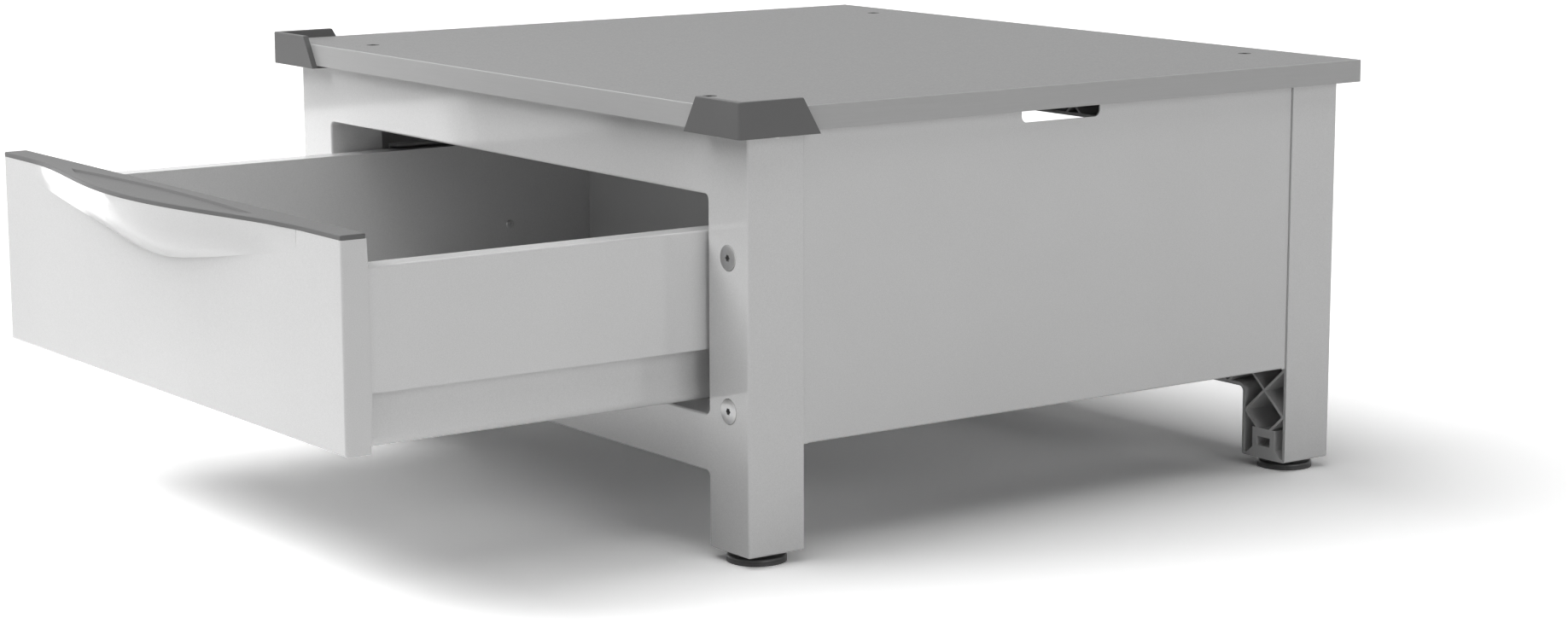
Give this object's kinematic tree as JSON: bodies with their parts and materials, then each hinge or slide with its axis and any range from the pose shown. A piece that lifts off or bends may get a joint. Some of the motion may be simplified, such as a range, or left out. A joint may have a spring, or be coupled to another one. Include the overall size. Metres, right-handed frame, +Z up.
{
  "type": "appliance pedestal with drawer",
  "caption": "Raised base for a washing machine or dryer: board with front corner stops on moulded leg frames, side panels, levelling feet and a pull-out drawer with a flared lip.",
  "frame": {"origin": "on the floor, below the middle of the deck board", "axes": "+X to the right seen from the front, -Y out of the drawer's front, +Z up"},
  "size_m": [0.6286, 0.8312, 0.308],
  "materials": {
    "board_grey": "grey melamine-faced chipboard, faint texture",
    "edge_band_grey": "grey plastic edge band",
    "plastic_dark_grey": "dark grey satin plastic",
    "plastic_white": "white satin to gloss moulded plastic",
    "sheet_white": "white powder coat",
    "sheet_grey": "zinc-coated sheet",
    "steel_zinc": "zinc-plated steel",
    "steel_dark": "dark zinc-plated steel",
    "plastic_nylon": "white nylon",
    "plastic_black": "black moulded plastic"
  },
  "bodies": {
    "base": {"deck_board": "board_grey", "deck_edge_band": "edge_band_grey", "corner_stop_left": "plastic_dark_grey", "corner_stop_right": "plastic_dark_grey", "corner_stop_screws": "steel_zinc", "deck_screws": "steel_dark", "front_frame": "plastic_white", "rear_frame": "plastic_white", "side_panel_left": "sheet_white", "side_panel_right": "sheet_white", "rail_bracket_left": "sheet_grey", "rail_bracket_right": "sheet_grey", "cabinet_runner_left": "sheet_white", "cabinet_runner_right": "sheet_white", "runner_screws_left": "steel_zinc", "runner_screws_right": "steel_zinc", "frame_screws_front": "steel_zinc", "frame_screws_rear": "steel_zinc", "weld_nuts_front": "steel_zinc", "weld_nuts_rear": "steel_zinc", "foot_nuts": "steel_zinc", "front_axle_left": "steel_zinc", "front_axle_right": "steel_zinc"},
    "drawer": {"drawer_front": "plastic_white", "handle_cap": "plastic_dark_grey", "drawer_tub": "plastic_white", "drawer_back": "plastic_white", "drawer_front_screws": "steel_zinc", "drawer_runner_left": "sheet_white", "drawer_runner_right": "sheet_white", "rear_axle_left": "steel_zinc", "rear_axle_right": "steel_zinc", "drawer_runner_rivets": "steel_zinc"},
    "front_roller_left": {"front_roller_left": "plastic_nylon"},
    "front_roller_right": {"front_roller_right": "plastic_nylon"},
    "rear_roller_left": {"rear_roller_left": "plastic_nylon"},
    "rear_roller_right": {"rear_roller_right": "plastic_nylon"},
    "foot_front_left": {"foot_pad_front_left": "plastic_black", "foot_stud_front_left": "steel_zinc"},
    "foot_front_right": {"foot_pad_front_right": "plastic_black", "foot_stud_front_right": "steel_zinc"},
    "foot_rear_left": {"foot_pad_rear_left": "plastic_black", "foot_stud_rear_left": "steel_zinc"},
    "foot_rear_right": {"foot_pad_rear_right": "plastic_black", "foot_stud_rear_right": "steel_zinc"}
  },
  "joints": [
    {"name": "drawer_slide", "type": "slide", "parent": "base", "child": "drawer", "axis": [0, -1, 0], "range_m": [-0.2675, 0.0825]},
    {"name": "front_roller_left_spin", "type": "hinge", "parent": "base", "child": "front_roller_left", "pos_m": [-0.24225, -0.2, 0.1465], "axis": [1, 0, 0], "continuous": true},
    {"name": "front_roller_right_spin", "type": "hinge", "parent": "base", "child": "front_roller_right", "pos_m": [0.24225, -0.2, 0.1465], "axis": [1, 0, 0], "continuous": true},
    {"name": "rear_roller_left_spin", "type": "hinge", "parent": "drawer", "child": "rear_roller_left", "pos_m": [-0.24225, -0.097, 0.1465], "axis": [1, 0, 0], "continuous": true},
    {"name": "rear_roller_right_spin", "type": "hinge", "parent": "drawer", "child": "rear_roller_right", "pos_m": [0.24225, -0.097, 0.1465], "axis": [1, 0, 0], "continuous": true},
    {"name": "foot_front_left_adjust", "type": "slide", "parent": "base", "child": "foot_front_left", "axis": [0, 0, -1], "range_m": [0, 0.012]},
    {"name": "foot_front_right_adjust", "type": "slide", "parent": "base", "child": "foot_front_right", "axis": [0, 0, -1], "range_m": [0, 0.012]},
    {"name": "foot_rear_left_adjust", "type": "slide", "parent": "base", "child": "foot_rear_left", "axis": [0, 0, -1], "range_m": [0, 0.012]},
    {"name": "foot_rear_right_adjust", "type": "slide", "parent": "base", "child": "foot_rear_right", "axis": [0, 0, -1], "range_m": [0, 0.012]}
  ],
  "couplings": [
    {"joint": "front_roller_left_spin", "follows": "drawer_slide", "rad_per_m": 100},
    {"joint": "front_roller_right_spin", "follows": "drawer_slide", "rad_per_m": 100},
    {"joint": "rear_roller_left_spin", "follows": "drawer_slide", "rad_per_m": 100},
    {"joint": "rear_roller_right_spin", "follows": "drawer_slide", "rad_per_m": 100}
  ]
}
